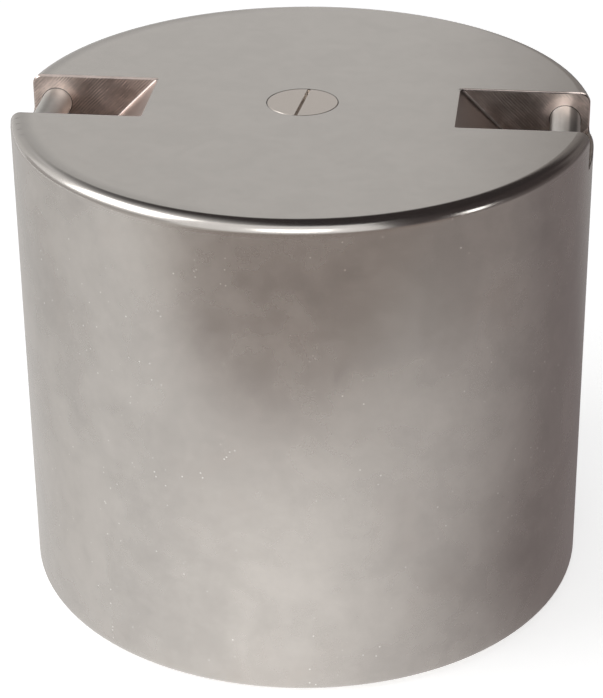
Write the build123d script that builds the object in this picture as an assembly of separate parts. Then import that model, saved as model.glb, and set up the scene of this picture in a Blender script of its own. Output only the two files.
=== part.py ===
from build123d import *
import math
import os

# Cylindrical calibration weight with two grip pockets milled into its top edge.
# Millimetres. Origin: centre of the standing ring. +Z up. The pockets face -X and +X.

# --- body ---------------------------------------------------------------------
body_diameter = 210.0
body_height = 184.6
rim_round = 3.9
base_round = 4.8
foot_ring_width = 14.0
base_relief_depth = 1.36
base_relief_taper = 1.5

# --- grip pockets: slots milled square to a tilted axis -------------------------
pocket_width = 36.4
pocket_reach = 49.5
pocket_tilt = 45.0
pocket_lip_depth = 13.0
pocket_end_corner_radius = 1.6
pocket_floor_round = 1.2
pocket_edge_break = 0.7

# --- lifting pins: pressed in from the back, blind at the front -------------------
pin_diameter = 11.2
pin_inset = 10.6
pin_depth = 10.9
pin_blind_length = 9.0
pin_end_gap = 0.2
pin_end_chamfer = 0.6
pin_fit_clearance = 0.01

# --- adjusting plug ---------------------------------------------------------------
plug_head_diameter = 25.6
plug_head_thickness = 5.0
plug_head_gap = 0.3
plug_edge_break = 0.15
plug_thread_diameter = 20.0
plug_thread_length = 9.0
plug_thread_clearance = 0.05
plug_thread_chamfer = 0.8
plug_slot_width = 1.2
plug_slot_depth = 2.2
plug_slot_angle = 85.3

# --- sealing washer ---------------------------------------------------------------
seal_thickness = 1.0
seal_side_gap = 0.3
seal_shank_gap = 0.05

# --- adjusting cavity and discs -----------------------------------------------------
thread_runout = 3.0
cavity_diameter = 17.0
cavity_depth = 66.0
disc_side_gap = 0.3
disc_thicknesses = (4.0, 2.0, 1.0)

# --- worked out from the above --------------------------------------------------------
body_radius = body_diameter / 2
pocket_inner_offset = body_radius - pocket_reach
pin_offset = body_radius - pin_inset
pin_radius = pin_diameter / 2
plug_head_radius = plug_head_diameter / 2
plug_shank_radius = plug_thread_diameter / 2 - plug_thread_clearance
seat_radius = plug_head_radius + plug_head_gap
seat_depth = plug_head_thickness + seal_thickness
thread_bore_depth = plug_head_thickness + plug_thread_length + thread_runout
cutter_margin = 5.0


def body_blank():
    """The turned block: rounded rim, rounded foot, shallow relief inside the standing ring."""
    relief_radius = body_radius - base_round - foot_ring_width
    with BuildPart() as blank:
        with BuildSketch(Plane.XZ):
            with BuildLine():
                Polyline(
                    (0, base_relief_depth),
                    (relief_radius - base_relief_taper, base_relief_depth),
                    (relief_radius, 0),
                    (body_radius, 0),
                    (body_radius, body_height),
                    (0, body_height),
                    close=True,
                )
            make_face()
        revolve(axis=Axis.Z)
        rim = blank.faces().sort_by(Axis.Z)[-1].edges()
        fillet(rim, rim_round)
        foot = blank.edges().filter_by(GeomType.CIRCLE).group_by(Axis.Z)[0].sort_by(SortBy.RADIUS)[-1]
        fillet(foot, base_round)
    return blank.part


def pocket_cutter():
    """The space of the +X pocket: its floor slopes down and out, its end stands square to the floor."""
    tilt = math.radians(pocket_tilt)
    floor_length = pocket_reach * math.cos(tilt) + pocket_lip_depth * math.sin(tilt)
    height = pocket_reach * math.sin(tilt) + 2 * cutter_margin
    frame = Plane(
        origin=(pocket_inner_offset, 0, body_height),
        x_dir=(math.cos(tilt), 0, -math.sin(tilt)),
        z_dir=(math.sin(tilt), 0, math.cos(tilt)),
    )
    length = floor_length + cutter_margin
    block = Box(length, pocket_width, height, align=(Align.MAX, Align.CENTER, Align.MIN))
    upright = block.edges().filter_by(Axis.Z).group_by(Axis.X)[-1]
    block = fillet(upright, pocket_end_corner_radius)
    floor_rim = block.faces().sort_by(Axis.Z)[0].edges()
    start_edge = floor_rim.sort_by(Axis.X)[0]
    block = fillet([e for e in floor_rim if not e.is_same(start_edge)], pocket_floor_round)
    return frame.location * Pos(floor_length, 0, 0) * block


def pin_bore():
    """The bore of the +X pin: through the back wall, blind in the front wall."""
    bore_radius = pin_radius + pin_fit_clearance
    front = -(pocket_width / 2 + pin_blind_length + pin_end_gap)
    length = body_radius + cutter_margin - front
    bore = Cylinder(bore_radius, length, align=(Align.CENTER, Align.CENTER, Align.MIN))
    place = Pos(pin_offset, front, body_height - pin_depth) * Rot(-90, 0, 0)
    return place * bore


def lifting_pin():
    """The +X pin: round bar, chamfered at its hidden end, its back end ground flush with the side."""
    front = -(pocket_width / 2 + pin_blind_length)
    length = body_radius + cutter_margin - front
    bar = Cylinder(pin_radius, length, align=(Align.CENTER, Align.CENTER, Align.MIN))
    bar = chamfer(bar.faces().sort_by(Axis.Z)[0].edges(), pin_end_chamfer)
    place = Pos(pin_offset, front, body_height - pin_depth) * Rot(-90, 0, 0)
    side = Cylinder(body_radius, body_height, align=(Align.CENTER, Align.CENTER, Align.MIN))
    return (place * bar) & side


def adjusting_bore():
    """Counterbore for the plug's head, threaded length and adjusting cavity, on the centre line."""
    down = (Align.CENTER, Align.CENTER, Align.MAX)
    seat = Cylinder(seat_radius, seat_depth, align=down)
    thread = Cylinder(plug_thread_diameter / 2, thread_bore_depth, align=down)
    cavity = Cylinder(cavity_diameter / 2, cavity_depth, align=down)
    return Pos(0, 0, body_height) * (seat + thread + cavity)


def body():
    """The block with its pockets, pin bores and adjusting bore."""
    block = body_blank()
    cutter = pocket_cutter()
    block = block - cutter - mirror(cutter, about=Plane.YZ)
    outline = pocket_outline(block)
    block = chamfer(outline, pocket_edge_break)
    bore = pin_bore()
    block = block - bore - mirror(bore, about=Plane.YZ)
    return block - adjusting_bore()


def pocket_outline(block):
    """The edges where the pockets break out of the top, the rim and the side."""
    outside = []
    inside = []
    for face in block.faces():
        kind = face.geom_type
        round_about_z = kind in (GeomType.TORUS, GeomType.CYLINDER) and is_turned(face)
        if round_about_z or (kind == GeomType.PLANE and abs(abs(face.normal_at().Z) - 1) < 1e-6):
            outside.append(face)
        else:
            inside.append(face)
    edges = []
    for face in inside:
        for edge in face.edges():
            if any(edge.is_same(other) for outer in outside for other in outer.edges()):
                edges.append(edge)
    return [e for e in edges if e.center().Z > base_relief_depth + base_relief_taper]


def is_turned(face):
    """Whether a round face is centred on the body's own axis."""
    axis = face.axis_of_rotation
    return abs(axis.position.X) < 1e-6 and abs(axis.position.Y) < 1e-6 and abs(axis.direction.Z) > 0.99


def adjusting_plug():
    """Flush plug: slotted head over a threaded shank, whose fine thread is left plain."""
    down = (Align.CENTER, Align.CENTER, Align.MAX)
    head = Cylinder(plug_head_radius, plug_head_thickness, align=down)
    head = chamfer(head.faces().sort_by(Axis.Z)[-1].edges(), plug_edge_break)
    shank = Cylinder(plug_shank_radius, plug_thread_length, align=down)
    shank = chamfer(shank.faces().sort_by(Axis.Z)[0].edges(), plug_thread_chamfer)
    plug = head + Pos(0, 0, -plug_head_thickness) * shank
    slot = Box(2 * seat_radius, plug_slot_width, 2 * plug_slot_depth)
    plug = plug - Rot(0, 0, plug_slot_angle) * slot
    return Pos(0, 0, body_height) * plug


def plug_seal():
    """Flat sealing washer between the plug's head and its seat."""
    down = (Align.CENTER, Align.CENTER, Align.MAX)
    ring = Cylinder(seat_radius - seal_side_gap, seal_thickness, align=down)
    hole = Cylinder(plug_shank_radius + seal_shank_gap, 3 * seal_thickness)
    return Pos(0, 0, body_height - plug_head_thickness) * (ring - hole)


def adjusting_discs():
    """Loose trimming discs, thickest first, stacked on the adjusting cavity's flat floor."""
    up = (Align.CENTER, Align.CENTER, Align.MIN)
    height = body_height - cavity_depth
    discs = []
    for thickness in disc_thicknesses:
        disc = Cylinder(cavity_diameter / 2 - disc_side_gap, thickness, align=up)
        discs.append(Pos(0, 0, height) * disc)
        height += thickness
    return Compound(children=discs)


pin = lifting_pin()
nodes = {
    "body": body(),
    "lifting_pin_right": pin,
    "lifting_pin_left": mirror(pin, about=Plane.YZ),
    "adjusting_plug": adjusting_plug(),
    "plug_seal": plug_seal(),
    "adjusting_discs": adjusting_discs(),
}

os.makedirs("parts", exist_ok=True)
for name, solid in nodes.items():
    export_step(solid, f"parts/{name}.step")
    print(name, round(solid.volume / 1000, 3), "cm3")
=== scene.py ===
"""Looks and studio for a cylindrical steel calibration weight with grip pockets and lifting pins."""

import math

import bmesh
import bpy
from bpy.props import FloatProperty, FloatVectorProperty, IntProperty, PointerProperty
from mathutils import Matrix, Vector


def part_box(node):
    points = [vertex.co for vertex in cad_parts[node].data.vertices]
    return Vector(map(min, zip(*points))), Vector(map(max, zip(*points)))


bl_info = {
    "name": "Calibration Weight Looks",
    "version": (1, 0, 0),
    "blender": (4, 5, 0),
    "location": "3D View > Sidebar > Weight",
    "description": "Finishes a packed calibration weight and sets up its studio",
    "category": "Object",
}

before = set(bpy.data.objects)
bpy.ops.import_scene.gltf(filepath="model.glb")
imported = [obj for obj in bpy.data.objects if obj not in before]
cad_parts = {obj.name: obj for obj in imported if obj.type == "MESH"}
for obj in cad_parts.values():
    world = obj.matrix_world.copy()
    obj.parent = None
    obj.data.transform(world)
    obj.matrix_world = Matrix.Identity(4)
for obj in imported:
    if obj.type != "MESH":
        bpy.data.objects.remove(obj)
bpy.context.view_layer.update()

BODY_LOW, BODY_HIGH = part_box("body")
PIN_LOW, PIN_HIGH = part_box("lifting_pin_right")

TOP = BODY_HIGH.z
PIN_MIDDLE = (PIN_LOW + PIN_HIGH) / 2
PIN_RADIUS = (PIN_HIGH.z - PIN_LOW.z) / 2
RADIUS = (BODY_HIGH.x - BODY_LOW.x) / 2
MM = 0.001
DEGREE = math.pi / 180
WHITE = (1.0, 1.0, 1.0)

# The turned outside: its rounds as they are shaded, and how far a facet may lie off them.
RIM_ROUND = 4.4 * MM
FOOT_ROUND = 4.8 * MM
RIM_SLACK = 0.42 * MM
FOOT_SLACK = 0.34 * MM

# How far a point may lie off a flat face of the pocket and still count as on it.
WALL_SLACK = 0.05 * MM
FACE_SLACK = 0.1 * MM

# Where the broken edge starts, as a share of its width, and how far its shading leans.
EDGE_START_LEFT = 0.04
EDGE_START_RIGHT = 0.5
EDGE_END = 1.02
LEAN_LEFT = 42 * DEGREE
LEAN_RIGHT_INNER = 10 * DEGREE
LEAN_RIGHT_OUTER = 36 * DEGREE

# Painted light and shade on the milled faces: how much lighter or darker than their colour they are, with a
# painted glint above each pin.
LEFT_WALL_HIGH, LEFT_WALL_DEEP = 1.0, 1.5
RIGHT_WALL_HIGH, RIGHT_WALL_DEEP, RIGHT_WALL_AT_PIN = 0.66, 1.05, 1.25
RIGHT_WALL_BEYOND_PIN = 0.6
RIGHT_FLOOR, RIGHT_FILLET_INNER, RIGHT_FILLET_OUTER = 0.73, 0.45, 1.3
END_LIP = 1.6
PAINTED_GLINT = 2.0
LIGHTEST = 1.6

TINT_COLOUR = (0.54, 0.48, 0.44)
GLINT_SPECK_COLOUR = (0.9, 0.88, 0.84)
SEAL_COLOUR = (0.80, 0.80, 0.77)
DISC_ROUGHNESS = 0.3


# --- settings -----------------------------------------------------------------


class SteelSettings(bpy.types.PropertyGroup):
    """Colours and roughness of the steel."""

    body_colour: FloatVectorProperty(
        name="Body colour",
        description="Reflected colour of the blasted steel body",
        subtype="COLOR",
        size=3,
        default=(0.575, 0.543, 0.51),
    )
    body_roughness: FloatProperty(
        name="Body roughness",
        description="How far the body's finish spreads a reflection",
        subtype="FACTOR",
        default=0.27,
    )
    pin_colour: FloatVectorProperty(
        name="Pin colour",
        description="Reflected colour of the ground lifting pins",
        subtype="COLOR",
        size=3,
        default=(0.60, 0.575, 0.545),
    )
    pin_roughness: FloatProperty(
        name="Pin roughness",
        description="How far the pins' finish spreads a reflection",
        subtype="FACTOR",
        default=0.4,
    )
    plug_colour: FloatVectorProperty(
        name="Plug colour",
        description="Reflected colour of the adjusting plug",
        subtype="COLOR",
        size=3,
        default=(0.635, 0.575, 0.525),
    )
    plug_roughness: FloatProperty(
        name="Plug roughness",
        description="How far the plug's finish spreads a reflection",
        subtype="FACTOR",
        default=0.25,
    )


class PocketSettings(bpy.types.PropertyGroup):
    """Sizes and colour of the milled grip pockets."""

    left_colour: FloatVectorProperty(
        name="Left pocket colour",
        description="Reflected colour of the milled faces in the left pocket",
        subtype="COLOR",
        size=3,
        default=(0.595, 0.505, 0.465),
    )
    right_colour: FloatVectorProperty(
        name="Right pocket colour",
        description="Reflected colour of the milled faces in the right pocket",
        subtype="COLOR",
        size=3,
        default=(0.60, 0.515, 0.475),
    )
    width: FloatProperty(
        name="Pocket width",
        description="Distance between the pocket's two upright walls",
        subtype="DISTANCE",
        unit="LENGTH",
        default=0.0364,
    )
    inner_edge: FloatProperty(
        name="Inner edge",
        description="Distance from the centre line to the pocket's inner edge",
        subtype="DISTANCE",
        unit="LENGTH",
        default=0.0555,
    )
    edge_break: FloatProperty(
        name="Edge break",
        description="Width of the broken edge round the pocket's outline",
        subtype="DISTANCE",
        unit="LENGTH",
        default=0.0007,
    )
    end_line: FloatProperty(
        name="End line",
        description="Reach and depth of the pocket's end wall, added together",
        subtype="DISTANCE",
        unit="LENGTH",
        default=0.0625,
    )
    cutter_pitch: FloatProperty(
        name="Cutter pitch",
        description="Distance from one cutter mark to the next on the upright walls",
        subtype="DISTANCE",
        unit="LENGTH",
        default=0.0009,
    )


class StudioSettings(bpy.types.PropertyGroup):
    """Strengths and colours of the studio."""

    floor_colour: FloatVectorProperty(
        name="Floor colour",
        description="Colour of the floor",
        subtype="COLOR",
        size=3,
        default=(0.93, 0.93, 0.93),
    )
    floor_white: FloatProperty(
        name="Floor white",
        description="How much white is added to the floor where the eye sees it",
        default=0.55,
        min=0.0,
    )
    ambient: FloatProperty(
        name="Ambient light",
        description="Strength of the even light from all round",
        default=0.4,
        min=0.0,
    )
    shade_colour: FloatVectorProperty(
        name="Shade colour",
        description="Colour of the dim floor that the right of the weight reflects",
        subtype="COLOR",
        size=3,
        default=(0.25, 0.22, 0.22),
    )
    front_radiance: FloatProperty(
        name="Front brightness",
        description="Brightness of the soft lamp at the front",
        default=3.0,
        min=0.0,
    )
    window_radiance: FloatProperty(
        name="Window brightness",
        description="Brightness of the large soft lamp at the left",
        default=2.4,
        min=0.0,
    )
    side_radiance: FloatProperty(
        name="Side brightness",
        description="Brightness of the small soft lamp at the right",
        default=4.0,
        min=0.0,
    )


# --- node helpers ----------------------------------------------------------------


def link(tree, source, target):
    """Joins two sockets."""
    tree.links.new(source, target)


def feed(tree, socket, value):
    """Gives a socket a link or a plain value."""
    if isinstance(value, bpy.types.NodeSocket):
        tree.links.new(value, socket)
    elif value is not None:
        socket.default_value = value


def math_node(tree, operation, first, second=None, third=None):
    """One Math node, and its result."""
    node = tree.nodes.new("ShaderNodeMath")
    node.operation = operation
    for socket, value in zip(node.inputs, (first, second, third)):
        feed(tree, socket, value)
    return node.outputs[0]


def product(tree, first, *others):
    """Values multiplied together."""
    for other in others:
        first = math_node(tree, "MULTIPLY", first, other)
    return first


def span(tree, first, second):
    """The length of a line, from its two parts square to each other."""
    square = math_node(tree, "MULTIPLY_ADD", first, first, math_node(tree, "MULTIPLY", second, second))
    return math_node(tree, "SQRT", square)


def ramp_up(tree, value, low, high):
    """0 at low, 1 at high, which can be the smaller one, and smooth in between."""
    node = tree.nodes.new("ShaderNodeMapRange")
    node.interpolation_type = "SMOOTHSTEP"
    node.inputs["From Min"].default_value = low
    node.inputs["From Max"].default_value = high
    feed(tree, node.inputs["Value"], value)
    return node.outputs["Result"]


def spread(tree, value, low, high):
    """Maps 0..1 to low..high."""
    node = tree.nodes.new("ShaderNodeMapRange")
    node.inputs["To Min"].default_value = low
    node.inputs["To Max"].default_value = high
    feed(tree, node.inputs["Value"], value)
    return node.outputs["Result"]


def noise(tree, vector, scale, detail=3.0, roughness=0.5, distortion=0.0):
    """A noise value about 0.5."""
    node = tree.nodes.new("ShaderNodeTexNoise")
    feed(tree, node.inputs["Vector"], vector)
    feed(tree, node.inputs["Scale"], scale)
    node.inputs["Detail"].default_value = detail
    node.inputs["Roughness"].default_value = roughness
    node.inputs["Distortion"].default_value = distortion
    return node.outputs["Fac"]


def mix_colour(tree, factor, first, second, blend="MIX"):
    """Mixes two colours."""
    node = tree.nodes.new("ShaderNodeMix")
    node.data_type = "RGBA"
    node.blend_type = blend
    feed(tree, node.inputs[0], factor)
    feed(tree, node.inputs[6], first)
    feed(tree, node.inputs[7], second)
    return node.outputs[2]


def toned(tree, colour, factor):
    """A colour made lighter or darker by a factor."""
    return mix_colour(tree, 1.0, colour, factor, "MULTIPLY")


def mix_value(tree, factor, first, second):
    """Mixes two values."""
    node = tree.nodes.new("ShaderNodeMix")
    feed(tree, node.inputs[0], factor)
    feed(tree, node.inputs[2], first)
    feed(tree, node.inputs[3], second)
    return node.outputs[0]


def mix_vector(tree, factor, first, second):
    """Mixes two vectors."""
    node = tree.nodes.new("ShaderNodeMix")
    node.data_type = "VECTOR"
    feed(tree, node.inputs[0], factor)
    feed(tree, node.inputs[4], first)
    feed(tree, node.inputs[5], second)
    return node.outputs[1]


def shifted(tree, vector, offset, scale=(1.0, 1.0, 1.0), rotation=(0.0, 0.0, 0.0)):
    """Moves, stretches or turns a pattern's coordinates."""
    node = tree.nodes.new("ShaderNodeMapping")
    feed(tree, node.inputs["Vector"], vector)
    node.inputs["Location"].default_value = offset
    node.inputs["Scale"].default_value = scale
    node.inputs["Rotation"].default_value = rotation
    return node.outputs["Vector"]


def joined(tree, *values):
    """A vector from up to three values, each a link or a plain value."""
    node = tree.nodes.new("ShaderNodeCombineXYZ")
    for socket, value in zip(node.inputs, values):
        feed(tree, socket, value)
    return node.outputs[0]


def split(tree, vector):
    """A vector's X, Y and Z."""
    node = tree.nodes.new("ShaderNodeSeparateXYZ")
    feed(tree, node.inputs[0], vector)
    return node.outputs


def bump(tree, height, distance, strength=1.0, normal=None):
    """A Bump node and its normal."""
    node = tree.nodes.new("ShaderNodeBump")
    node.inputs["Distance"].default_value = distance
    feed(tree, node.inputs["Strength"], strength)
    feed(tree, node.inputs["Height"], height)
    feed(tree, node.inputs["Normal"], normal)
    return node.outputs["Normal"]


def rgba(colour, factor=1.0):
    """A colour with alpha 1, made lighter or darker by a factor."""
    return (*[channel * factor for channel in colour], 1.0)


# --- shared effects ------------------------------------------------------------------


def new_group(name, inputs, outputs, vectors=()):
    """An empty shader group with a vector input, float inputs, and float and vector outputs."""
    group = bpy.data.node_groups.new(name, "ShaderNodeTree")
    group.interface.new_socket(name="Vector", in_out="INPUT", socket_type="NodeSocketVector")
    for label, value in inputs.items():
        socket = group.interface.new_socket(name=label, in_out="INPUT", socket_type="NodeSocketFloat")
        socket.default_value = value
    for label in outputs:
        group.interface.new_socket(name=label, in_out="OUTPUT", socket_type="NodeSocketFloat")
    for label in vectors:
        group.interface.new_socket(name=label, in_out="OUTPUT", socket_type="NodeSocketVector")
    return group, group.nodes.new("NodeGroupInput"), group.nodes.new("NodeGroupOutput")


def use_group(tree, group, vector, **values):
    """Places a shared effect, and returns its outputs."""
    node = tree.nodes.new("ShaderNodeGroup")
    node.node_tree = group
    feed(tree, node.inputs["Vector"], vector)
    for label, value in values.items():
        feed(tree, node.inputs[label.replace("_", " ")], value)
    return node.outputs


def satin_clouds():
    """Soft cloudy shading, as handling and blasting leave on steel."""
    name = "Satin clouds"
    if name in bpy.data.node_groups:
        return bpy.data.node_groups[name]
    group, source, target = new_group(name, {"Size": 30.0, "Amount": 0.1}, ["Shade", "Cloud"])
    vector = source.outputs["Vector"]
    size = source.outputs["Size"]
    amount = source.outputs["Amount"]
    large = noise(group, vector, size, detail=4.0, roughness=0.55, distortion=0.6)
    small = noise(group, vector, math_node(group, "MULTIPLY", size, 4.3), detail=3.0, roughness=0.6)
    large_part = math_node(group, "MULTIPLY", large, 0.7)
    small_part = math_node(group, "MULTIPLY", small, 0.3)
    cloud = ramp_up(group, math_node(group, "ADD", large_part, small_part), 0.32, 0.68)
    centred = math_node(group, "SUBTRACT", cloud, 0.5)
    shade = math_node(group, "MULTIPLY_ADD", centred, amount, 1.0)
    link(group, shade, target.inputs["Shade"])
    link(group, cloud, target.inputs["Cloud"])
    return group


def blasted_grain():
    """The very fine pitted grain of a blasted or lapped face."""
    name = "Blasted grain"
    if name in bpy.data.node_groups:
        return bpy.data.node_groups[name]
    group, source, target = new_group(name, {"Size": 2200.0}, ["Height"])
    vector = source.outputs["Vector"]
    size = source.outputs["Size"]
    fine = noise(group, vector, size, detail=2.0, roughness=0.6)
    coarse = noise(group, vector, math_node(group, "MULTIPLY", size, 0.22), detail=2.0)
    total = math_node(group, "MULTIPLY_ADD", coarse, 0.6, fine)
    link(group, total, target.inputs["Height"])
    return group


def stray_specks():
    """Tiny bright specks in loose clusters, painted glints of pits that catch the light."""
    name = "Stray specks"
    if name in bpy.data.node_groups:
        return bpy.data.node_groups[name]
    group, source, target = new_group(name, {"Size": 420.0, "Amount": 0.5}, ["Mask"])
    vector = source.outputs["Vector"]
    cells = group.nodes.new("ShaderNodeTexVoronoi")
    link(group, vector, cells.inputs["Vector"])
    link(group, source.outputs["Size"], cells.inputs["Scale"])
    dot = math_node(group, "SUBTRACT", 1.0, ramp_up(group, cells.outputs["Distance"], 0.1, 0.22))
    pick = math_node(group, "GREATER_THAN", cells.outputs["Color"], 0.74)
    cluster = ramp_up(group, noise(group, vector, 38.0, detail=2.0), 0.47, 0.62)
    link(group, product(group, dot, pick, cluster, source.outputs["Amount"]), target.inputs["Mask"])
    return group


def cutter_lines():
    """Ridges left by a milling cutter, one after another along the vector's X."""
    name = "Cutter lines"
    if name in bpy.data.node_groups:
        return bpy.data.node_groups[name]
    group, source, target = new_group(name, {"Pitch": 0.001, "Wander": 0.3}, ["Height"])
    vector = source.outputs["Vector"]
    wander = math_node(group, "MULTIPLY", noise(group, vector, 60.0, detail=2.0), source.outputs["Wander"])
    lines = math_node(group, "DIVIDE", split(group, vector)["X"], source.outputs["Pitch"])
    turns = math_node(group, "ADD", lines, wander)
    wave = math_node(group, "SINE", math_node(group, "MULTIPLY", turns, 2 * math.pi))
    height = math_node(group, "MULTIPLY_ADD", wave, 0.5, 0.5)
    line = joined(group, math_node(group, "FLOOR", turns))
    strength = noise(group, line, 7.3, detail=0.0)
    link(group, math_node(group, "MULTIPLY", height, strength), target.inputs["Height"])
    return group


def turned_skin():
    """Where the turned outside is, which way a truly round outside faces there, and a painted shade band
    along the top edge at the left.
    """
    name = "Turned skin"
    if name in bpy.data.node_groups:
        return bpy.data.node_groups[name]
    group, source, target = new_group(name, {}, ["Skin", "Painted rim shade"], ["Normal"])
    x, y, z = split(group, source.outputs["Vector"])
    radius = span(group, x, y)
    upper = math_node(group, "GREATER_THAN", z, TOP / 2)
    round_off = mix_value(group, upper, FOOT_ROUND, RIM_ROUND)
    inner = math_node(group, "SUBTRACT", RADIUS, round_off)
    out = math_node(group, "MAXIMUM", math_node(group, "SUBTRACT", radius, inner), 0.0)
    above = math_node(group, "MAXIMUM", math_node(group, "SUBTRACT", z, TOP - RIM_ROUND), 0.0)
    below = math_node(group, "MINIMUM", math_node(group, "SUBTRACT", z, FOOT_ROUND), 0.0)
    rise = mix_value(group, upper, below, above)
    off = math_node(group, "ABSOLUTE", math_node(group, "SUBTRACT", span(group, out, rise), round_off))
    slack = mix_value(group, upper, FOOT_SLACK, RIM_SLACK)
    link(group, math_node(group, "LESS_THAN", off, slack), target.inputs["Skin"])
    # Painted shade: a band along the top's outer edge at the left, where the body's colour is darkened.
    outermost = ramp_up(group, radius, RADIUS - 9 * MM, RADIUS - 4 * MM)
    uppermost = ramp_up(group, z, TOP - 1.8 * MM, TOP - 0.3 * MM)
    at_left = ramp_up(group, x, 0.0, -60 * MM)
    link(group, product(group, outermost, uppermost, at_left), target.inputs["Painted rim shade"])
    share = math_node(group, "DIVIDE", out, math_node(group, "MAXIMUM", radius, 0.1 * MM))
    never_flat = math_node(group, "ADD", rise, 0.001 * MM)
    sideways = [math_node(group, "MULTIPLY", part, share) for part in (x, y)]
    turn = group.nodes.new("ShaderNodeVectorTransform")
    turn.vector_type = "NORMAL"
    turn.convert_from = "OBJECT"
    turn.convert_to = "WORLD"
    link(group, joined(group, *sideways, never_flat), turn.inputs[0])
    link(group, turn.outputs[0], target.inputs["Normal"])
    return group


# --- materials ---------------------------------------------------------------------


def new_steel(name, colour, roughness):
    """A metal material with its coordinates and its Principled shader."""
    material = bpy.data.materials.new(name)
    material.use_nodes = True
    material.diffuse_color = rgba(colour)
    tree = material.node_tree
    shader = tree.nodes["Principled BSDF"]
    shader.inputs["Base Color"].default_value = rgba(colour)
    shader.inputs["Metallic"].default_value = 1.0
    shader.inputs["Roughness"].default_value = roughness
    place = tree.nodes.new("ShaderNodeTexCoord").outputs["Object"]
    return material, tree, shader, place


def pocket_place(tree, place, pocket):
    """Where a point is in the pockets, with masks for the walls, floor, end wall and broken edge."""
    x, y, z = split(tree, place)
    right = math_node(tree, "GREATER_THAN", x, 0.0)
    outward = math_node(tree, "ABSOLUTE", x)
    across = math_node(tree, "ABSOLUTE", y)
    reach = math_node(tree, "SUBTRACT", outward, pocket.inner_edge)
    depth = math_node(tree, "SUBTRACT", TOP, z)
    lift = math_node(tree, "SUBTRACT", reach, depth)
    down_out = math_node(tree, "ADD", reach, depth)
    below_top = math_node(tree, "GREATER_THAN", depth, 0.02 * MM)
    share = math_node(tree, "SUBTRACT", across, pocket.width / 2)
    share = math_node(tree, "DIVIDE", share, pocket.edge_break)
    start = mix_value(tree, right, EDGE_START_LEFT, EDGE_START_RIGHT)
    broken = product(
        tree,
        math_node(tree, "GREATER_THAN", share, start),
        math_node(tree, "LESS_THAN", share, EDGE_END),
        math_node(tree, "LESS_THAN", down_out, pocket.end_line + pocket.edge_break),
    )
    at_top = math_node(tree, "COMPARE", depth, pocket.edge_break / 2 + 0.02 * MM, pocket.edge_break / 2)
    lean = mix_value(tree, right, LEAN_LEFT, spread(tree, share, LEAN_RIGHT_INNER, LEAN_RIGHT_OUTER))
    inward = math_node(tree, "MULTIPLY", math_node(tree, "SIGN", y), -1.0)
    edge_normal = joined(
        tree,
        0.0,
        math_node(tree, "MULTIPLY", inward, math_node(tree, "COSINE", lean)),
        math_node(tree, "SINE", lean),
    )
    along = math_node(tree, "SUBTRACT", outward, PIN_MIDDLE.x)
    upward = math_node(tree, "SUBTRACT", z, PIN_MIDDLE.z)
    return {
        "right": right,
        "along": along,
        "upward": upward,
        "depth": depth,
        "reach": reach,
        "wall": math_node(tree, "COMPARE", across, pocket.width / 2, WALL_SLACK),
        "floor": math_node(tree, "COMPARE", lift, 0.0, FACE_SLACK),
        "end": math_node(tree, "COMPARE", down_out, pocket.end_line, FACE_SLACK),
        "outline": math_node(tree, "MULTIPLY", broken, below_top),
        "edge": math_node(tree, "MULTIPLY", broken, at_top),
        "edge normal": edge_normal,
        "on wall": joined(tree, lift, down_out, y),
        "from pin": math_node(tree, "SUBTRACT", span(tree, along, upward), PIN_RADIUS),
    }


def painted_light_and_shade(tree, at):
    """Painted light and shade on the milled faces: how much lighter or darker than their colour they are,
    from place to place.
    """
    # Painted light and shade: on the left the walls grow lighter deeper down; on the right the walls are
    # darker up high and beyond the pin and lighter by the pin, the floor and fillet are darker, and the end
    # lip is lighter.
    deep = ramp_up(tree, at["depth"], 3.0 * MM, 14.0 * MM)
    left = mix_value(tree, at["wall"], 1.0, spread(tree, deep, LEFT_WALL_HIGH, LEFT_WALL_DEEP))
    near_pin = ramp_up(tree, at["along"], -14.0 * MM, -4.0 * MM)
    right = spread(tree, deep, RIGHT_WALL_HIGH, RIGHT_WALL_DEEP)
    right = mix_value(tree, near_pin, right, RIGHT_WALL_AT_PIN)
    beyond_pin = ramp_up(tree, at["along"], 2.0 * MM, 5.0 * MM)
    below_rim = ramp_up(tree, at["depth"], 4.0 * MM, 6.5 * MM)
    beyond = math_node(tree, "MULTIPLY", beyond_pin, below_rim)
    right = math_node(tree, "MULTIPLY", right, spread(tree, beyond, 1.0, RIGHT_WALL_BEYOND_PIN))
    low_end = ramp_up(tree, at["reach"], 38.0 * MM, 42.0 * MM)
    fillet = spread(tree, low_end, RIGHT_FILLET_INNER, RIGHT_FILLET_OUTER)
    right = mix_value(tree, at["wall"], mix_value(tree, at["floor"], fillet, RIGHT_FLOOR), right)
    lip = math_node(tree, "MULTIPLY", at["end"], ramp_up(tree, at["reach"], 45.0 * MM, 47.5 * MM))
    right = mix_value(tree, lip, right, END_LIP)
    # Painted glint: the walls are made lighter in streaks just over each pin.
    streaks = noise(tree, shifted(tree, at["on wall"], (0, 0, 0), (3.0, 1.0, 1.0)), 300.0)
    close = ramp_up(tree, at["from pin"], 5.0 * MM, 1.5 * MM)
    over = ramp_up(tree, at["upward"], 0.0, 5.0 * MM)
    painted_glint = spread(tree, product(tree, close, over, at["wall"], streaks), 1.0, PAINTED_GLINT)
    return math_node(tree, "MULTIPLY", mix_value(tree, at["right"], left, right), painted_glint)


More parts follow.
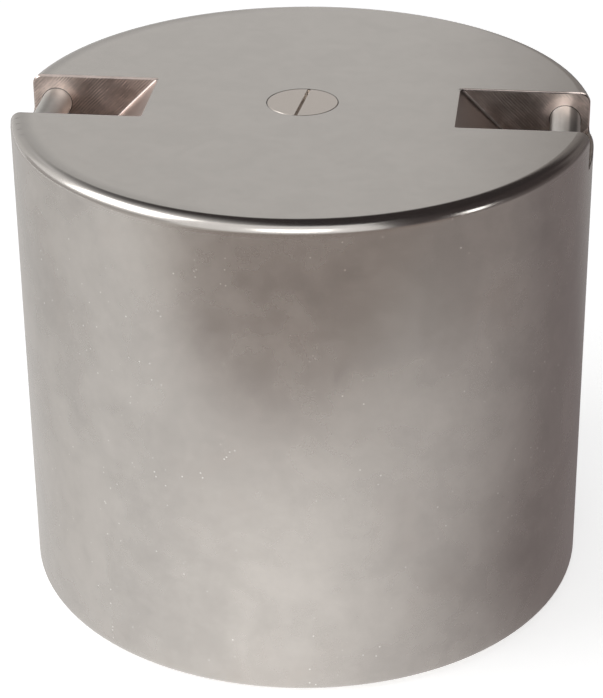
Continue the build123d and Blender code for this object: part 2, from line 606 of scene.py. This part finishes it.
def milled_colour(tree, at, place, steel, pocket, marks, worn):
    """The colour of the pockets' milled faces, with cutter marks, scuffs, a seam round each pin, and painted
    light and shade.
    """
    patchy = ramp_up(tree, noise(tree, shifted(tree, place, (0.4, 0.2, 0.6)), 170.0), 0.45, 0.62)
    patchy = math_node(tree, "MULTIPLY", spread(tree, patchy, 0.1, 1.0), spread(tree, at["right"], 1.0, 0.35))
    stripe = math_node(tree, "MULTIPLY_ADD", math_node(tree, "SUBTRACT", marks, 0.25), patchy, 1.0)
    scuffs = noise(tree, shifted(tree, at["on wall"], (0, 0, 0), (2.2, 0.5, 1.0)), 420.0, detail=3.0)
    scuffs = mix_value(tree, at["wall"], 1.0, spread(tree, scuffs, 0.72, 1.28))
    seam = spread(tree, ramp_up(tree, at["from pin"], 0.45 * MM, 0.1 * MM), 1.0, 0.15)
    shade = product(tree, worn, mix_value(tree, at["wall"], 1.0, stripe), seam, scuffs, painted_light_and_shade(tree, at))
    colour = mix_colour(tree, at["right"], rgba(pocket.left_colour), rgba(pocket.right_colour))
    colour = mix_colour(tree, at["end"], colour, rgba(steel.body_colour))
    return toned(tree, colour, math_node(tree, "MINIMUM", shade, LIGHTEST))


def milled_roughness(tree, at, worn):
    """The roughness of the pockets' milled faces and of their broken edge."""
    left = mix_value(tree, at["edge"], 0.2, 0.5)
    right = mix_value(tree, at["edge"], 0.45, 0.2)
    sharp = mix_value(tree, at["end"], mix_value(tree, at["right"], left, right), 0.65)
    flat = math_node(tree, "MAXIMUM", at["wall"], at["floor"])
    return mix_value(tree, flat, sharp, spread(tree, worn, 0.3, 0.42))


def body_steel(steel, pocket):
    """Satin stainless: cloudy, finely blasted outside, with cutter marks in the pockets."""
    material, tree, shader, place = new_steel("body_steel", steel.body_colour, steel.body_roughness)
    at = pocket_place(tree, place, pocket)
    skin = use_group(tree, turned_skin(), place)
    beyond = math_node(tree, "GREATER_THAN", at["reach"], -1.0 * MM)
    off_outline = math_node(tree, "SUBTRACT", 1.0, math_node(tree, "MULTIPLY", at["outline"], beyond))
    outside = math_node(tree, "MULTIPLY", skin["Skin"], off_outline)
    inside = math_node(tree, "MULTIPLY", math_node(tree, "SUBTRACT", 1.0, outside), beyond)
    side = ramp_up(tree, at["depth"], 3.0 * MM, 6.0 * MM)

    clouds = use_group(tree, satin_clouds(), place, Size=22.0, Amount=0.16)
    soft = use_group(tree, satin_clouds(), shifted(tree, place, (0.31, 0.17, 0.05)), Size=70.0, Amount=0.05)
    worn = use_group(tree, satin_clouds(), shifted(tree, place, (0.7, 0.1, 0.3)), Size=150.0, Amount=0.16)
    specks = use_group(tree, stray_specks(), place, Size=520.0, Amount=0.9)
    pitch = pocket.cutter_pitch * math.sqrt(2)
    marks = use_group(tree, cutter_lines(), at["on wall"], Pitch=pitch, Wander=1.6)["Height"]
    grain = use_group(tree, blasted_grain(), place, Size=2600.0)["Height"]

    cloudy = mix_value(tree, side, 1.0, clouds["Shade"])
    # The rim band darkens the colour there as painted shade.
    shade = product(tree, cloudy, soft["Shade"], spread(tree, skin["Painted rim shade"], 1.0, 0.8))
    colour = toned(tree, rgba(steel.body_colour), shade)
    warm = ramp_up(tree, noise(tree, shifted(tree, place, (0.2, 0.9, 0.4)), 26.0, detail=3.0), 0.55, 0.8)
    tint = product(tree, warm, side, 0.35)
    colour = mix_colour(tree, tint, colour, rgba(TINT_COLOUR))
    # Painted glints: bright specks on the outside.
    colour = mix_colour(tree, product(tree, specks["Mask"], side, skin["Skin"]), colour, rgba(GLINT_SPECK_COLOUR))
    milled = milled_colour(tree, at, place, steel, pocket, marks, worn["Shade"])
    link(tree, mix_colour(tree, inside, colour, milled), shader.inputs["Base Color"])

    rough = math_node(tree, "MULTIPLY_ADD", clouds["Cloud"], 0.05, steel.body_roughness - 0.025)
    rough = mix_value(tree, side, steel.body_roughness - 0.07, rough)
    rough = mix_value(tree, inside, rough, milled_roughness(tree, at, worn["Cloud"]))
    link(tree, rough, shader.inputs["Roughness"])

    facet = tree.nodes.new("ShaderNodeNewGeometry").outputs["Normal"]
    true_round = mix_vector(tree, outside, facet, skin["Normal"])
    on_edge = math_node(tree, "MULTIPLY", inside, at["edge"])
    unit = tree.nodes.new("ShaderNodeVectorMath")
    unit.operation = "NORMALIZE"
    link(tree, mix_vector(tree, on_edge, true_round, at["edge normal"]), unit.inputs[0])
    normal = bump(tree, grain, 0.004 * MM, 0.28, unit.outputs[0])
    normal = bump(tree, marks, 0.06 * MM, math_node(tree, "MULTIPLY", inside, at["wall"]), normal)
    link(tree, normal, shader.inputs["Normal"])
    return material


def pin_steel(steel):
    """Ground bar: painted light and dark bands along it, standing for the strips it reflects, and faint lines
    round it.
    """
    material, tree, shader, place = new_steel("pin_steel", steel.pin_colour, steel.pin_roughness)
    lines = noise(tree, shifted(tree, place, (0, 0, 0), (1.0, 60.0, 1.0)), 90.0, detail=3.0)
    clouds = use_group(tree, satin_clouds(), place, Size=120.0, Amount=0.12)
    x = split(tree, place)["X"]
    right = math_node(tree, "GREATER_THAN", x, 0.0)
    middle = mix_value(tree, right, -PIN_MIDDLE.x, PIN_MIDDLE.x)
    sideways = math_node(tree, "DIVIDE", math_node(tree, "SUBTRACT", x, middle), PIN_RADIUS)
    # Painted highlight and shade: bright and dark strips along each pin, as the bar would reflect them.
    painted_left_band = mix_value(tree, ramp_up(tree, sideways, -0.8, -0.56), 1.0, 0.62)
    painted_left_band = mix_value(tree, ramp_up(tree, sideways, -0.4, 0.44), painted_left_band, 1.6)
    painted_right_band = mix_value(tree, ramp_up(tree, sideways, -0.6, -0.16), 0.8, 1.6)
    painted_right_band = mix_value(tree, ramp_up(tree, sideways, 0.16, 0.42), painted_right_band, 0.5)
    painted_right_band = mix_value(tree, ramp_up(tree, sideways, 0.7, 0.86), painted_right_band, 1.0)
    painted_bands = mix_value(tree, right, painted_left_band, painted_right_band)
    shade = product(tree, clouds["Shade"], painted_bands, spread(tree, lines, 0.94, 1.06))
    shade = math_node(tree, "MINIMUM", shade, LIGHTEST)
    link(tree, toned(tree, rgba(steel.pin_colour), shade), shader.inputs["Base Color"])
    rough = math_node(tree, "MULTIPLY_ADD", lines, 0.08, steel.pin_roughness - 0.04)
    link(tree, rough, shader.inputs["Roughness"])
    link(tree, bump(tree, lines, 0.004 * MM, 0.6), shader.inputs["Normal"])
    shader.inputs["Anisotropic"].default_value = 0.9
    link(tree, joined(tree, 0.0, 1.0, 0.0), shader.inputs["Tangent"])
    return material


def plug_steel(steel):
    """Faced plug: fine rings on its head, a little lighter than the body."""
    material, tree, shader, place = new_steel("plug_steel", steel.plug_colour, steel.plug_roughness)
    x, y, z = split(tree, place)
    pitch = 0.12 * MM
    rings = math_node(tree, "SINE", math_node(tree, "MULTIPLY", span(tree, y, x), 2 * math.pi / pitch))
    clouds = use_group(tree, satin_clouds(), place, Size=110.0, Amount=0.06)
    link(tree, toned(tree, rgba(steel.plug_colour), clouds["Shade"]), shader.inputs["Base Color"])
    rough = math_node(tree, "MULTIPLY_ADD", clouds["Cloud"], 0.04, steel.plug_roughness - 0.02)
    link(tree, rough, shader.inputs["Roughness"])
    link(tree, bump(tree, rings, 0.0015 * MM, 0.35), shader.inputs["Normal"])
    return material


def seal_white():
    """Waxy white washer."""
    material, tree, shader, place = new_steel("seal_ptfe", SEAL_COLOUR, 0.5)
    shader.inputs["Metallic"].default_value = 0.0
    shader.inputs["Subsurface Weight"].default_value = 0.15
    shader.inputs["Subsurface Scale"].default_value = 0.5 * MM
    clouds = use_group(tree, satin_clouds(), place, Size=300.0, Amount=0.08)
    link(tree, toned(tree, rgba(SEAL_COLOUR), clouds["Shade"]), shader.inputs["Base Color"])
    link(tree, spread(tree, clouds["Cloud"], 0.42, 0.58), shader.inputs["Roughness"])
    return material


def disc_steel(steel):
    """Turned discs, with a fine uneven sheen."""
    material, tree, shader, place = new_steel("disc_steel", steel.pin_colour, DISC_ROUGHNESS)
    sheen = noise(tree, shifted(tree, place, (0, 0, 0), (1.0, 1.0, 0.1)), 900.0, detail=2.0)
    colour = toned(tree, rgba(steel.pin_colour), spread(tree, sheen, 0.9, 1.1))
    link(tree, colour, shader.inputs["Base Color"])
    link(tree, spread(tree, sheen, 0.26, 0.36), shader.inputs["Roughness"])
    return material


def wear(node, material):
    """Puts one material on a CAD node."""
    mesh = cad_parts[node].data
    mesh.materials.clear()
    mesh.materials.append(material)


# --- operators ----------------------------------------------------------------------


class FinishBody(bpy.types.Operator):
    """Gives the body its satin steel"""

    bl_idname = "weight.finish_body"
    bl_label = "Finish body"

    def execute(self, context):
        scene = context.scene
        wear("body", body_steel(scene.weight_steel, scene.weight_pocket))
        return {"FINISHED"}


class FinishPins(bpy.types.Operator):
    """Gives the lifting pins their ground steel"""

    bl_idname = "weight.finish_pins"
    bl_label = "Finish lifting pins"

    def execute(self, context):
        material = pin_steel(context.scene.weight_steel)
        wear("lifting_pin_left", material)
        wear("lifting_pin_right", material)
        return {"FINISHED"}


class FinishPlug(bpy.types.Operator):
    """Gives the adjusting plug, its washer and the discs their finishes"""

    bl_idname = "weight.finish_plug"
    bl_label = "Finish plug, washer and discs"

    def execute(self, context):
        steel = context.scene.weight_steel
        wear("adjusting_plug", plug_steel(steel))
        wear("plug_seal", seal_white())
        wear("adjusting_discs", disc_steel(steel))
        return {"FINISHED"}


def card(name, centre, size, facing, colour):
    """A flat card that shows only in reflections."""
    mesh = bpy.data.meshes.new(name)
    shape = bmesh.new()
    bmesh.ops.create_grid(shape, x_segments=1, y_segments=1, size=0.5)
    bmesh.ops.scale(shape, vec=Vector((size[0], size[1], 1.0)), verts=shape.verts)
    across = Vector((0.0, 0.0, 1.0)).cross(facing)
    across = across.normalized() if across.length > 0.1 else Vector((1.0, 0.0, 0.0))
    turn = Matrix((across, Vector(facing).cross(across), facing)).transposed()
    bmesh.ops.transform(shape, matrix=Matrix.Translation(centre) @ turn.to_4x4(), verts=shape.verts)
    shape.to_mesh(mesh)
    shape.free()
    material = bpy.data.materials.new(name)
    material.use_nodes = True
    tree = material.node_tree
    tree.nodes.remove(tree.nodes["Principled BSDF"])
    glow = tree.nodes.new("ShaderNodeEmission")
    glow.inputs["Color"].default_value = rgba(colour)
    link(tree, glow.outputs[0], tree.nodes["Material Output"].inputs["Surface"])
    mesh.materials.append(material)
    thing = bpy.data.objects.new(name, mesh)
    bpy.context.scene.collection.objects.link(thing)
    thing.visible_camera = False
    thing.visible_diffuse = False
    thing.visible_shadow = False
    thing.visible_transmission = False
    thing.visible_volume_scatter = False
    return thing


def card_glow(thing):
    """A card's node tree, its X, Y and Z, and the colour socket of its glow."""
    tree = thing.data.materials[0].node_tree
    place = tree.nodes.new("ShaderNodeTexCoord").outputs["Object"]
    return tree, split(tree, place), tree.nodes["Emission"].inputs["Color"]


def fade_round(thing, colour):
    """Lets a floor card go from light in front of the weight to a dark colour at its right."""
    tree, (x, y, z), glow = card_glow(thing)
    front, left, rear_left = (0.94, 0.93, 0.92), (0.77, 0.765, 0.76), (0.665, 0.655, 0.645)
    right_patch, rear_right, behind = (0.37, 0.335, 0.325), (0.42, 0.405, 0.40), (0.54, 0.53, 0.52)
    away = span(tree, x, y)
    bearing = math_node(tree, "ARCTAN2", x, math_node(tree, "MULTIPLY", y, -1.0))
    near = ramp_up(tree, away, RADIUS + 0.15, RADIUS)
    turned = math_node(tree, "MULTIPLY", bearing, mix_value(tree, near, 1.0, 1.5))
    tone = mix_colour(tree, ramp_up(tree, turned, -10 * DEGREE, -60 * DEGREE), rgba(front), rgba(left))
    tone = mix_colour(tree, ramp_up(tree, turned, -60 * DEGREE, -110 * DEGREE), tone, rgba(rear_left))
    tone = mix_colour(tree, ramp_up(tree, turned, 2 * DEGREE, 112 * DEGREE), tone, rgba(colour))

    ahead_left = ramp_up(tree, bearing, 25 * DEGREE, -15 * DEGREE)
    close = math_node(tree, "MULTIPLY", ramp_up(tree, away, 0.32, 0.13), ahead_left)
    tone = toned(tree, tone, spread(tree, close, 1.0, 1.13))
    patch = product(
        tree,
        ramp_up(tree, turned, 18 * DEGREE, 60 * DEGREE),
        ramp_up(tree, turned, 100 * DEGREE, 80 * DEGREE),
        ramp_up(tree, away, 0.3, 0.42),
    )
    tone = mix_colour(tree, patch, tone, rgba(right_patch))
    tone = mix_colour(tree, ramp_up(tree, bearing, 125 * DEGREE, 158 * DEGREE), tone, rgba(rear_right))

    ahead = ramp_up(tree, y, -0.16, -0.3)
    swing = mix_value(tree, ramp_up(tree, x, 0.02, 0.17), 1.0, 0.8)
    swing = mix_value(tree, ramp_up(tree, x, -0.1, -0.22), swing, 1.13)
    tone = toned(tree, tone, mix_value(tree, ahead, 1.0, swing))
    rearmost = ramp_up(tree, math_node(tree, "ABSOLUTE", bearing), 172 * DEGREE, 180 * DEGREE)
    tone = mix_colour(tree, rearmost, tone, rgba(behind))
    distant = product(
        tree,
        ramp_up(tree, away, 0.5, 0.9),
        ramp_up(tree, turned, 20 * DEGREE, 70 * DEGREE),
        ramp_up(tree, bearing, 180 * DEGREE, 172 * DEGREE),
    )
    link(tree, mix_colour(tree, distant, tone, rgba(colour, 0.6)), glow)


def fade_back(thing):
    """Lets the card behind the weight go from light at the left to dark at the right."""
    tree, (x, y, z), glow = card_glow(thing)
    far_left, left = (0.715, 0.71, 0.70), (0.665, 0.66, 0.65)
    right, far_right = (0.30, 0.28, 0.27), (0.17, 0.155, 0.15)
    tone = mix_colour(tree, ramp_up(tree, x, -0.06, 0.22), rgba(left), rgba(right))
    tone = mix_colour(tree, ramp_up(tree, x, -0.8, -1.4), tone, rgba(far_left))
    link(tree, mix_colour(tree, ramp_up(tree, x, 0.4, 1.3), tone, rgba(far_right)), glow)


def fade_front(thing):
    """Lets the dim card in front of the weight grow lighter at the left."""
    tree, (x, y, z), glow = card_glow(thing)
    dim, left = (0.33, 0.285, 0.265), (0.6, 0.575, 0.55)
    link(tree, mix_colour(tree, ramp_up(tree, x, -0.22, -0.4), rgba(dim), rgba(left)), glow)


def fade_ceiling(thing):
    """Lets the dark card overhead grow light toward the window at the left."""
    tree, (x, y, z), glow = card_glow(thing)
    slant = math_node(tree, "MULTIPLY_ADD", math_node(tree, "MINIMUM", y, 0.5), -0.467, -0.52)
    past = math_node(tree, "SUBTRACT", slant, x)
    dark = (0.04, 0.034, 0.034)
    link(tree, mix_colour(tree, ramp_up(tree, past, -0.4, 0.7), rgba(dark), rgba(WHITE)), glow)


def fade_right(thing):
    """Lets the dark card at the right grow a little lighter near the floor and at its far end."""
    tree, (x, y, z), glow = card_glow(thing)
    low, high, far = (0.13, 0.11, 0.108), (0.055, 0.045, 0.045), (0.19, 0.17, 0.165)
    tone = mix_colour(tree, ramp_up(tree, z, 0.0, 0.5), rgba(low), rgba(high))
    far_end = math_node(tree, "MULTIPLY", ramp_up(tree, y, 0.65, 1.0), ramp_up(tree, z, 1.05, 0.6))
    link(tree, mix_colour(tree, far_end, tone, rgba(far)), glow)


def soft_lamp(name, place, aim, size, radiance):
    """A rectangular soft lamp of a given brightness."""
    lamp = bpy.data.lights.new(name, "AREA")
    lamp.shape = "RECTANGLE"
    lamp.size, lamp.size_y = size
    lamp.energy = radiance * math.pi * size[0] * size[1]
    thing = bpy.data.objects.new(name, lamp)
    thing.location = place
    thing.rotation_euler = (Vector(aim) - Vector(place)).to_track_quat("-Z", "Y").to_euler()
    bpy.context.scene.collection.objects.link(thing)
    return thing


def seen_ray(tree):
    """1 for what the eye sees, straight, in metal or through glass, and 0 for light that falls on things."""
    path = tree.nodes.new("ShaderNodeLightPath")
    seen = math_node(tree, "MAXIMUM", path.outputs["Is Camera Ray"], path.outputs["Is Glossy Ray"])
    return math_node(tree, "MAXIMUM", seen, path.outputs["Is Transmission Ray"])


def light_world(ambient):
    """White all round for the eye and for reflections, and an even ambient light."""
    world = bpy.data.worlds.new("Studio")
    bpy.context.scene.world = world
    world.use_nodes = True
    tree = world.node_tree
    back = tree.nodes["Background"]
    back.inputs["Color"].default_value = (1.0, 1.0, 1.0, 1.0)
    link(tree, mix_value(tree, seen_ray(tree), ambient, 1.0), back.inputs["Strength"])


def lay_floor(colour, white):
    """A plain pale floor under and behind the weight, which keeps the weight's shadow."""
    mesh = bpy.data.meshes.new("floor")
    shape = bmesh.new()
    bmesh.ops.create_grid(shape, x_segments=1, y_segments=1, size=1.0)
    bmesh.ops.scale(shape, vec=Vector((2.5, 1.7, 1.0)), verts=shape.verts)
    bmesh.ops.translate(shape, vec=Vector((0.0, 1.7 - 2.9 * RADIUS, BODY_LOW.z)), verts=shape.verts)
    shape.to_mesh(mesh)
    shape.free()
    material = bpy.data.materials.new("floor_white")
    material.use_nodes = True
    tree = material.node_tree
    shader = tree.nodes["Principled BSDF"]
    shader.inputs["Base Color"].default_value = rgba(colour)
    shader.inputs["Roughness"].default_value = 0.9
    shader.inputs["Specular IOR Level"].default_value = 0.1
    glow = tree.nodes.new("ShaderNodeEmission")
    link(tree, math_node(tree, "MULTIPLY", seen_ray(tree), white), glow.inputs["Strength"])
    both = tree.nodes.new("ShaderNodeAddShader")
    link(tree, shader.outputs[0], both.inputs[0])
    link(tree, glow.outputs[0], both.inputs[1])
    link(tree, both.outputs[0], tree.nodes["Material Output"].inputs["Surface"])
    mesh.materials.append(material)
    thing = bpy.data.objects.new("floor", mesh)
    bpy.context.scene.collection.objects.link(thing)


def place_camera():
    """A long lens a little to the right, looking down on the top and the front."""
    azimuth, elevation, roll = 0.1183, 0.4839, -0.0096
    distance, focal_px, long_side_px = 8.592, 2383.26, 698.0
    middle_height, aim_left, aim_down = 0.8803, 0.0108, 0.0711
    level = Vector((math.sin(azimuth), -math.cos(azimuth), 0.0))
    back = math.cos(elevation) * level + Vector((0.0, 0.0, math.sin(elevation)))
    flat = Vector((0.0, 0.0, 1.0)).cross(back).normalized()
    rise = back.cross(flat)
    right = math.cos(roll) * flat + math.sin(roll) * rise
    up = math.cos(roll) * rise - math.sin(roll) * flat
    aim = Vector((0.0, 0.0, middle_height)) - aim_left * right - aim_down * up
    eye = (aim + back * distance) * RADIUS
    camera = bpy.data.cameras.new("camera")
    camera.lens = focal_px / long_side_px * camera.sensor_width
    camera.clip_start = 0.05
    thing = bpy.data.objects.new("camera", camera)
    turn = Matrix((right, up, back)).transposed().to_4x4()
    thing.matrix_world = Matrix.Translation(eye) @ turn
    bpy.context.scene.collection.objects.link(thing)
    bpy.context.scene.camera = thing


class BuildStudio(bpy.types.Operator):
    """Sets up the floor, the lamps, the cards and the camera"""

    bl_idname = "weight.build_studio"
    bl_label = "Build studio"

    def execute(self, context):
        studio = context.scene.weight_studio
        context.scene.view_settings.view_transform = "Standard"
        light_world(studio.ambient)
        lay_floor(studio.floor_colour, studio.floor_white)
        middle = (0.0, 0.0, TOP * 0.6)
        soft_lamp("window_lamp", (-1.012, -0.368, 0.92), middle, (1.05, 0.71), studio.window_radiance)
        soft_lamp("front_lamp", (0.08, -1.48, 0.71), middle, (0.65, 0.5), studio.front_radiance)
        soft_lamp("side_lamp", (1.15, -0.42, 0.26), middle, (0.16, 0.3), studio.side_radiance)
        fade_back(card("back_card", (-0.6, 1.6, 0.975), (4.4, 1.95), (0.0, -1.0, 0.0), WHITE))
        fade_ceiling(card("ceiling_card", (-0.1, 0.34, 1.25), (2.7, 2.16), (0.0, 0.0, -1.0), WHITE))
        fade_right(card("right_card", (1.25, -0.1, 1.1), (3.2, 2.2), (-1.0, 0.0, 0.0), WHITE))
        shade = card("shade_card", (0.025, 0.65, 0.0006), (2.45, 1.9), (0.0, 0.0, 1.0), WHITE)
        fade_round(shade, studio.shade_colour)
        card("left_card", (-2.0, -0.6, 0.29), (3.4, 0.6), (1.0, 0.0, 0.0), (0.48, 0.465, 0.455))
        fade_front(card("front_card", (0.3, -1.75, -0.002), (5.0, 3.2), (0.0, 0.0, 1.0), WHITE))
        place_camera()
        return {"FINISHED"}


class StudioPanel(bpy.types.Panel):
    """Buttons and settings for the calibration weight"""

    bl_idname = "VIEW3D_PT_weight"
    bl_label = "Calibration weight"
    bl_space_type = "VIEW_3D"
    bl_region_type = "UI"
    bl_category = "Weight"

    def draw(self, context):
        for operator in OPERATORS:
            self.layout.operator(operator.bl_idname)
        for group in SETTINGS:
            settings = getattr(context.scene, group)
            box = self.layout.box()
            for name in settings.__annotations__:
                box.prop(settings, name)


OPERATORS = (FinishBody, FinishPins, FinishPlug, BuildStudio)
SETTINGS = {"weight_steel": SteelSettings, "weight_pocket": PocketSettings, "weight_studio": StudioSettings}


def register():
    """Registers the settings, the operators and the panel."""
    for cls in (*SETTINGS.values(), *OPERATORS, StudioPanel):
        bpy.utils.register_class(cls)
    for name, cls in SETTINGS.items():
        setattr(bpy.types.Scene, name, PointerProperty(type=cls))


def unregister():
    """Takes the settings, the operators and the panel away again."""
    for name in SETTINGS:
        delattr(bpy.types.Scene, name)
    for cls in reversed((*SETTINGS.values(), *OPERATORS, StudioPanel)):
        bpy.utils.unregister_class(cls)


def main():
    """Runs every step in order."""
    register()
    bpy.ops.weight.finish_body()
    bpy.ops.weight.finish_pins()
    bpy.ops.weight.finish_plug()
    bpy.ops.weight.build_studio()


if __name__ == "__main__":
    main()
